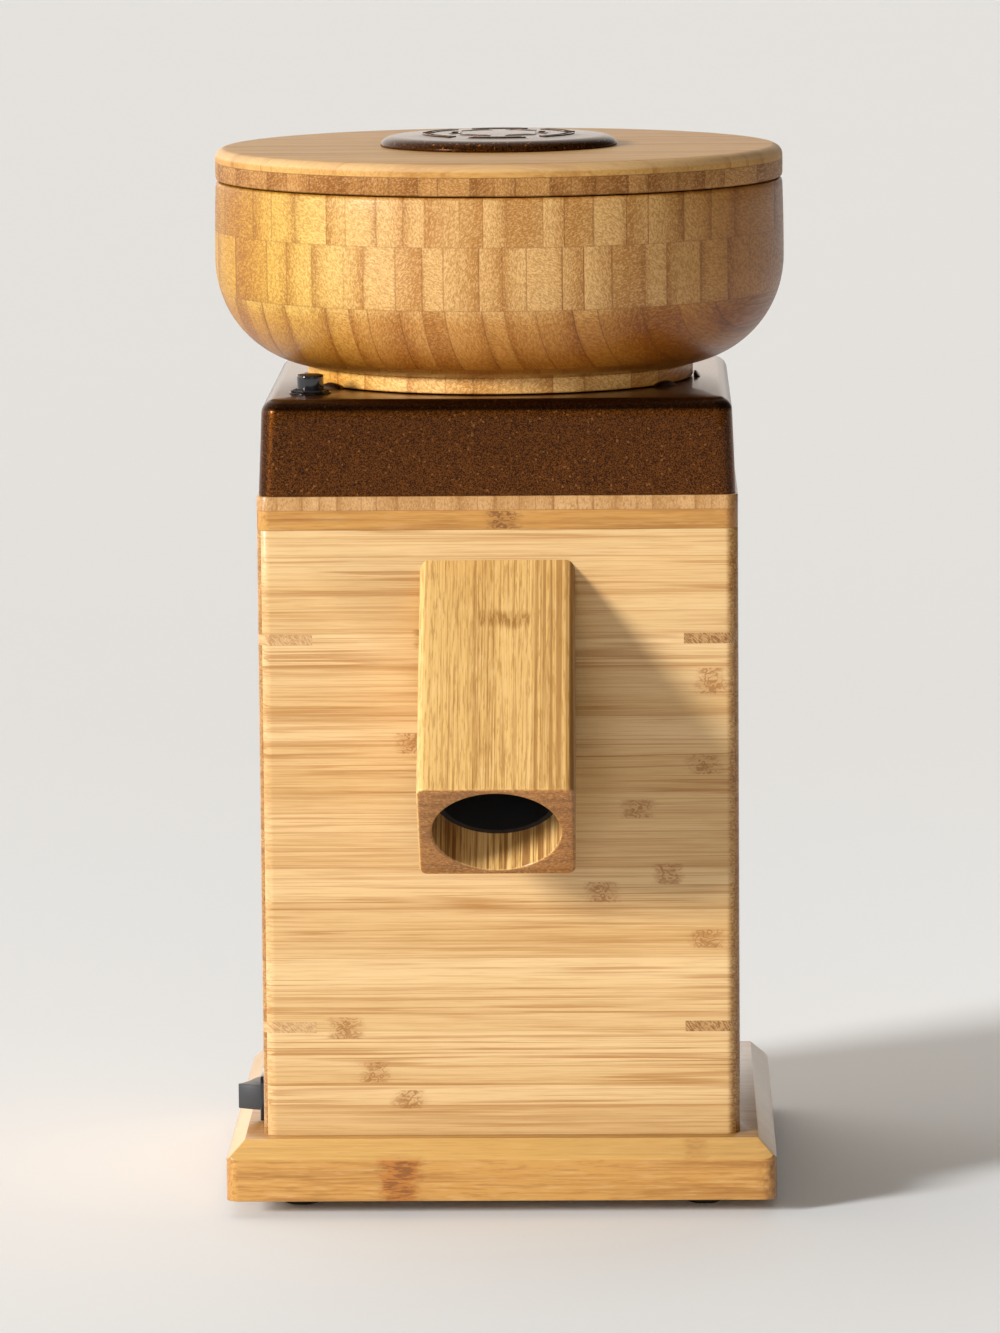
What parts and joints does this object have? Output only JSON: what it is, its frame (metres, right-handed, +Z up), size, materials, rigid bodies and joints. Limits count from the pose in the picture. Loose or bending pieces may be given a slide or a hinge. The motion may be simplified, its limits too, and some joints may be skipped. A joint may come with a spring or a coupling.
{
  "type": "electric grain mill",
  "caption": "Electric stone grain mill: square bamboo body on a wider base, screw-in bamboo hopper with a vented lid, 45 degree flour spout, rocker switch and push button.",
  "frame": {"origin": "centre of the square of four feet, at the level of the worktop they stand on, under the common axis of hopper, millstones and motor shaft", "axes": "+Z up along the hopper and shaft axis, -Y the front, where the spout points, +X to the right as seen from the front"},
  "size_m": [0.2072, 0.2606, 0.381],
  "materials": {
    "bamboo_panel": "satin lacquer, pale strips",
    "bamboo_base": "satin lacquer, honey",
    "bamboo_key": "satin lacquer, end grain",
    "bamboo_spout": "satin lacquer, yellow strips",
    "bamboo_bowl": "gloss lacquer, turned end grain blocks",
    "bamboo_lid": "gloss lacquer",
    "bronze_moulding": "gloss metallic brown",
    "vent_brown": "gloss metallic brown",
    "black_plastic": "fine satin",
    "black_gloss": "polished",
    "black_nylon": "matt",
    "white_plastic": "satin",
    "rubber": "matt",
    "nickel": "bright nickel",
    "zinc_steel": "zinc plated",
    "spring_steel": "drawn wire",
    "lamination_steel": "stacked sheet edges",
    "ground_steel": "ground",
    "cast_aluminium": "die cast",
    "copper_wire": "enamelled copper wire",
    "millstone": "coarse corundum in a ceramic bond",
    "carrier_nylon": "glass filled, matt"
  },
  "bodies": {
    "case": {"base_plate": "bamboo_base", "base_screws": "zinc_steel", "feet": "rubber", "foot_screws": "zinc_steel", "front_panel": "bamboo_panel", "back_panel": "bamboo_panel", "left_panel": "bamboo_panel", "right_panel": "bamboo_panel", "spline_keys": "bamboo_key", "top_board": "bamboo_panel", "board_screws": "zinc_steel", "spout_block": "bamboo_spout", "outlet_duct": "black_plastic", "top_cover": "bronze_moulding", "cover_screws": "zinc_steel", "mill_housing": "cast_aluminium", "housing_bolts": "zinc_steel", "shaft_seal": "rubber", "guide_pins": "ground_steel", "stone_springs": "spring_steel", "motor_posts": "cast_aluminium", "motor_bolts": "zinc_steel", "stator_core": "lamination_steel", "stator_windings": "copper_wire", "top_end_bell": "cast_aluminium", "bottom_end_bell": "cast_aluminium", "tie_bolts": "zinc_steel", "upper_bearing": "ground_steel", "lower_bearing": "ground_steel", "switch_body": "black_gloss", "reset_breaker": "black_plastic", "breaker_nut": "nickel", "reset_spring": "spring_steel", "run_capacitor": "white_plastic", "capacitor_clips": "zinc_steel", "terminal_block": "white_plastic", "cord_gland": "black_plastic"},
    "stones": {"upper_stone": "millstone", "stone_carrier": "carrier_nylon", "stone_screws": "zinc_steel"},
    "hopper": {"hopper_bowl": "bamboo_bowl", "hopper_floor": "bamboo_bowl", "thread_ring": "black_nylon", "ring_screws": "zinc_steel"},
    "lid": {"lid_board": "bamboo_lid", "vent_cover": "vent_brown", "vent_retainer": "black_plastic"},
    "rotor": {"rotor_core": "lamination_steel", "rotor_end_rings": "cast_aluminium", "rotor_shaft": "ground_steel", "cooling_fan": "black_nylon", "stone_hub": "cast_aluminium", "drive_key": "ground_steel", "lower_stone": "millstone", "hub_washer": "zinc_steel", "hub_screw": "zinc_steel"},
    "button": {"reset_button": "black_gloss"},
    "rocker": {"switch_rocker": "black_plastic"}
  },
  "joints": [
    {"name": "stone_rise", "type": "slide", "parent": "case", "child": "stones", "axis": [0, 0, 1], "range_m": [0, 0.003], "deforming": ["stone_springs"]},
    {"name": "hopper_turn", "type": "hinge", "parent": "stones", "child": "hopper", "pos_m": [0, 0, 0.2921], "axis": [0, 0, 1], "range_deg": [0, 330]},
    {"name": "lid_lift", "type": "slide", "parent": "hopper", "child": "lid", "axis": [0, 0, 1], "range_m": [0, 0.06]},
    {"name": "rotor_spin", "type": "hinge", "parent": "case", "child": "rotor", "pos_m": [0, 0, 0.2], "axis": [0, 0, 1], "continuous": true},
    {"name": "reset_press", "type": "slide", "parent": "case", "child": "button", "axis": [0, 0, -1], "range_m": [0, 0.0035], "stiffness_N_per_m": 300, "deforming": ["reset_spring"]},
    {"name": "rocker_tilt", "type": "hinge", "parent": "case", "child": "rocker", "pos_m": [-0.0865, -0.0537, 0.0363], "axis": [0, 0, 1], "range_deg": [0, 28]}
  ],
  "couplings": [
    {"joint": "stone_rise", "follows": "hopper_turn", "m_per_rad": 0.00047746}
  ]
}
